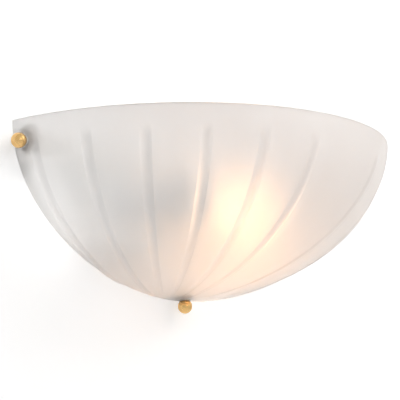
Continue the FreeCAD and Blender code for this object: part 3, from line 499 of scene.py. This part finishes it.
def ball_screw(side, point, axis):
    """Rod with a right-hand V thread, a little thinner at its ends."""
    low, high = span(side + "_screw", point, axis)
    length = high - low
    screw = add_primitive("cylinder", vertices=SCREW_SIDES, radius=SCREW_RADIUS, depth=length,
                          location=(0, 0, length / 2))
    screw.name = side + "_screw_threaded"
    bpy.ops.object.transform_apply(location=True)
    choose_edges(screw, lambda a, b: abs(a.z - b.z) > length / 2)
    bpy.ops.mesh.subdivide(number_cuts=int(length / SCREW_PITCH * ROWS_PER_TURN))
    close_edit()
    for vertex in screw.data.vertices:
        co = vertex.co
        turn = (co.z / SCREW_PITCH - math.atan2(co.y, co.x) / (2 * math.pi)) % 1.0
        crest = 1 - abs(2 * turn - 1)
        lead = min(1.0, min(co.z, length - co.z) / SCREW_PITCH + LEAD_AT_END)
        radius = (SCREW_RADIUS - THREAD_DEPTH * (1 - crest)) * (1 - (1 - lead) * END_TAPER)
        scale = radius / math.hypot(co.x, co.y)
        co.x *= scale
        co.y *= scale
    settle(screw, point + axis * low, axis, side + "_screw_body", "zinc_steel",
           side + "_screw")


def turned(name, outline, around, form):
    """A closed ring about +Z: the outline's points (radius, height) are carried round it, and
    form(radius, height, angle) gives each one's own radius. Millimetres."""
    ring = add_primitive("grid", x_subdivisions=around, y_subdivisions=len(outline), size=1)
    ring.name = name
    for vertex in ring.data.vertices:
        angle = 2 * math.pi * (round((vertex.co.x + 0.5) * around) % around) / around
        radius, height = outline[round((vertex.co.y + 0.5) * len(outline)) % len(outline)]
        radius = form(radius, height, angle)
        vertex.co = Vector((radius * math.cos(angle), radius * math.sin(angle), height)) * MM
    choose_faces(ring)
    bpy.ops.mesh.remove_doubles(threshold=TINY)
    bpy.ops.mesh.normals_make_consistent(inside=False)
    close_edit()
    return ring


# thumb nuts and lamp cap, in millimetres
NUT_RADIUS, NUT_HEIGHT = 5.5, 6.0
NUT_COLLAR_RADIUS, NUT_COLLAR_HEIGHT = 4.4, 2.0
NUT_CHAMFER = 0.5
NUT_BORE = 2.15
NUT_TEETH, NUT_TOOTH = 36, 0.3    # count and depth
POINTS_PER_TOOTH = 4


def thumb_nuts():
    """The two knurled nuts that hold the pan on its studs."""
    outline = [(NUT_BORE, 0), (NUT_COLLAR_RADIUS, 0), (NUT_COLLAR_RADIUS, NUT_COLLAR_HEIGHT),
               (NUT_RADIUS - NUT_CHAMFER, NUT_COLLAR_HEIGHT),
               (NUT_RADIUS, NUT_COLLAR_HEIGHT + NUT_CHAMFER),
               (NUT_RADIUS, NUT_HEIGHT - NUT_CHAMFER), (NUT_RADIUS - NUT_CHAMFER, NUT_HEIGHT),
               (NUT_BORE, NUT_HEIGHT)]

    def form(radius, height, angle):
        notch = 0.5 - 0.5 * math.cos(NUT_TEETH * angle)
        return radius - NUT_TOOTH * notch if radius == NUT_RADIUS else radius

    places = [vertex.co for vertex in nodes["thumb_nuts"].data.vertices]
    for sign, side in ((-1, "left"), (1, "right")):
        own = [co for co in places if co.x * sign > 0]
        middle = [(min(co[i] for co in own) + max(co[i] for co in own)) / 2 for i in (0, 2)]
        nut = turned(side + "_thumb_nut_knurled", outline, NUT_TEETH * POINTS_PER_TOOTH,
                     form)
        settle(nut, Vector((middle[0], max(co.y for co in own), middle[1])), (0, -1, 0),
               "fixture", "shell_brass", "thumb_nuts")


CAP_RADIUS, CAP_FOOT_RADIUS = 13.1, 9.825
CAP_LENGTH, CAP_SHOULDER, CAP_FOOT = 25.0, 5.0, 2.5     # from the tip of the lamp
CAP_SHEET = 0.5
CAP_PITCH, CAP_THREAD = 3.63, 0.75
CAP_PLAIN = 1.5                   # plain band at the cap's mouth
CAP_RUN_IN, CAP_RUN_OUT = 1.5, 2.0      # where the thread starts and dies out
CAP_ROWS, CAP_SIDES = 40, 64


def lamp_cap():
    """Rolled screw cap of the lamp, its thread pressed into the sheet."""
    rows = [(CAP_RADIUS, CAP_SHOULDER + (CAP_LENGTH - CAP_SHOULDER) * i / CAP_ROWS)
            for i in range(CAP_ROWS + 1)]
    outline = rows + [(radius - CAP_SHEET, height) for radius, height in reversed(rows)] + [
        (CAP_FOOT_RADIUS - CAP_SHEET, CAP_FOOT), (CAP_FOOT_RADIUS, CAP_FOOT)]
    mouth = CAP_LENGTH - CAP_PLAIN

    def form(radius, height, angle):
        share = 0.5 - 0.5 * math.cos(2 * math.pi * height / CAP_PITCH - angle)
        ends = ease(height, CAP_SHOULDER, CAP_SHOULDER + CAP_RUN_IN) * (
            1 - ease(height, mouth - CAP_RUN_OUT, mouth))
        return radius - CAP_THREAD * share * ends

    point = Vector(joints["bulb_turn"]["pos_m"])
    along = Vector((1, 0, 0))
    foot = span("bulb_cap", point, along)[0]
    settle(turned("lamp_cap_threaded", outline, CAP_SIDES, form),
           point + along * (foot - CAP_FOOT * MM), along, "bulb_body", "cap_aluminium",
           "bulb_cap")


# ---------------------------------------------------------------- wall, floor and light
WALL_SIZE = 6.0
FLOOR_DROP = 1.6
SURROUND = 0.48                   # what the backdrop adds of its own, so that it is white
SKY = 0.33                        # light from all round; where it is seen itself, it is white


def seen_rays(tree):
    """1 for the camera's rays and for those that glass and metal send on, else 0."""
    path = add(tree, "ShaderNodeLightPath")
    seen = path.outputs["Is Camera Ray"]
    for kind in ("Is Glossy Ray", "Is Transmission Ray"):
        seen = add(tree, "ShaderNodeMath", {"operation": "MAXIMUM"},
                   links={0: seen, 1: path.outputs[kind]}).outputs["Value"]
    return seen


def backdrop_material():
    """Matt white paint. It adds a little light of its own for the camera and for what glass
    and metal show, so that it is white while the shadow on it stays. Seen from behind, it
    lets the view through."""
    material, tree, place = begin("matt_white_paint")
    roller = add(tree, "ShaderNodeTexNoise", values={"Scale": 1 / 0.004, "Detail": 3.0},
                 links={"Vector": place})
    bump = add(tree, "ShaderNodeBump", values={"Strength": 1.0, "Distance": 0.00002},
               links={"Height": roller.outputs["Fac"]})
    paint = add(tree, "ShaderNodeBsdfDiffuse", values={"Color": colour("#f4f4f4")},
                links={"Normal": bump.outputs["Normal"]})
    own = add(tree, "ShaderNodeMath", {"operation": "MULTIPLY"}, {1: SURROUND},
              {0: seen_rays(tree)})
    glow = add(tree, "ShaderNodeEmission", links={"Strength": own.outputs["Value"]})
    front = add(tree, "ShaderNodeAddShader",
                links={0: paint.outputs["BSDF"], 1: glow.outputs["Emission"]})
    side = add(tree, "ShaderNodeNewGeometry")
    behind = add(tree, "ShaderNodeBsdfTransparent")
    shader = add(tree, "ShaderNodeMixShader",
                 links={"Fac": side.outputs["Backfacing"], 1: front.outputs["Shader"],
                        2: behind.outputs["BSDF"]})
    end(tree, shader.outputs["Shader"])
    return material


def build_backdrop():
    """Wall and floor: they aren't part of the object."""
    paint = backdrop_material()
    wall = add_primitive("plane", size=WALL_SIZE, location=(0, 0.0005, 0),
                         rotation=(math.pi / 2, 0, 0))
    floor = add_primitive("plane", size=WALL_SIZE, location=(0, -WALL_SIZE / 2, -FLOOR_DROP))
    for obj, name in ((wall, "wall"), (floor, "floor")):
        obj.name = name
        obj.data.materials.append(paint)


def add_softbox(name, place, aim, size, power, tint):
    data = bpy.data.lights.new(name, "AREA")
    data.size = size
    data.energy = power
    data.color = colour(tint)[:3]
    light = bpy.data.objects.new(name, data)
    light.location = place
    light.rotation_euler = (Vector(aim) - Vector(place)).to_track_quat("-Z", "Y").to_euler()
    bpy.context.scene.collection.objects.link(light)


def build_light():
    world = bpy.data.worlds.new("studio")
    bpy.context.scene.world = world
    world.use_nodes = True
    tree = world.node_tree
    tree.nodes.clear()
    strength = add(tree, "ShaderNodeMapRange", values={"To Min": SKY, "To Max": 1.0},
                   links={"Value": seen_rays(tree)})
    sky = add(tree, "ShaderNodeBackground", links={"Strength": strength.outputs["Result"]})
    add(tree, "ShaderNodeOutputWorld", links={"Surface": sky.outputs["Background"]})
    add_softbox("key_softbox", (1.1, -1.5, 1.3), (0, -0.08, 0), 1.0, 26, "#ffffff")
    add_softbox("front_softbox", (-0.4, -2.4, 0.5), (0, -0.08, 0), 1.2, 4, "#f6f9ff")


# ---------------------------------------------------------------- the whole scene
bpy.context.scene.view_settings.view_transform = "Standard"
place_camera()
build_backdrop()
build_light()
FINISHES = make_finishes()
for part in frame["record"]["subparts"]:
    dress(nodes[part["node"]], part["material_slot"])
glass_bowl()
for side in SIDES:
    point, axis = screw_axis(side)
    brass_ball(side, point, axis)
    ball_screw(side, point, axis)
thumb_nuts()
lamp_cap()
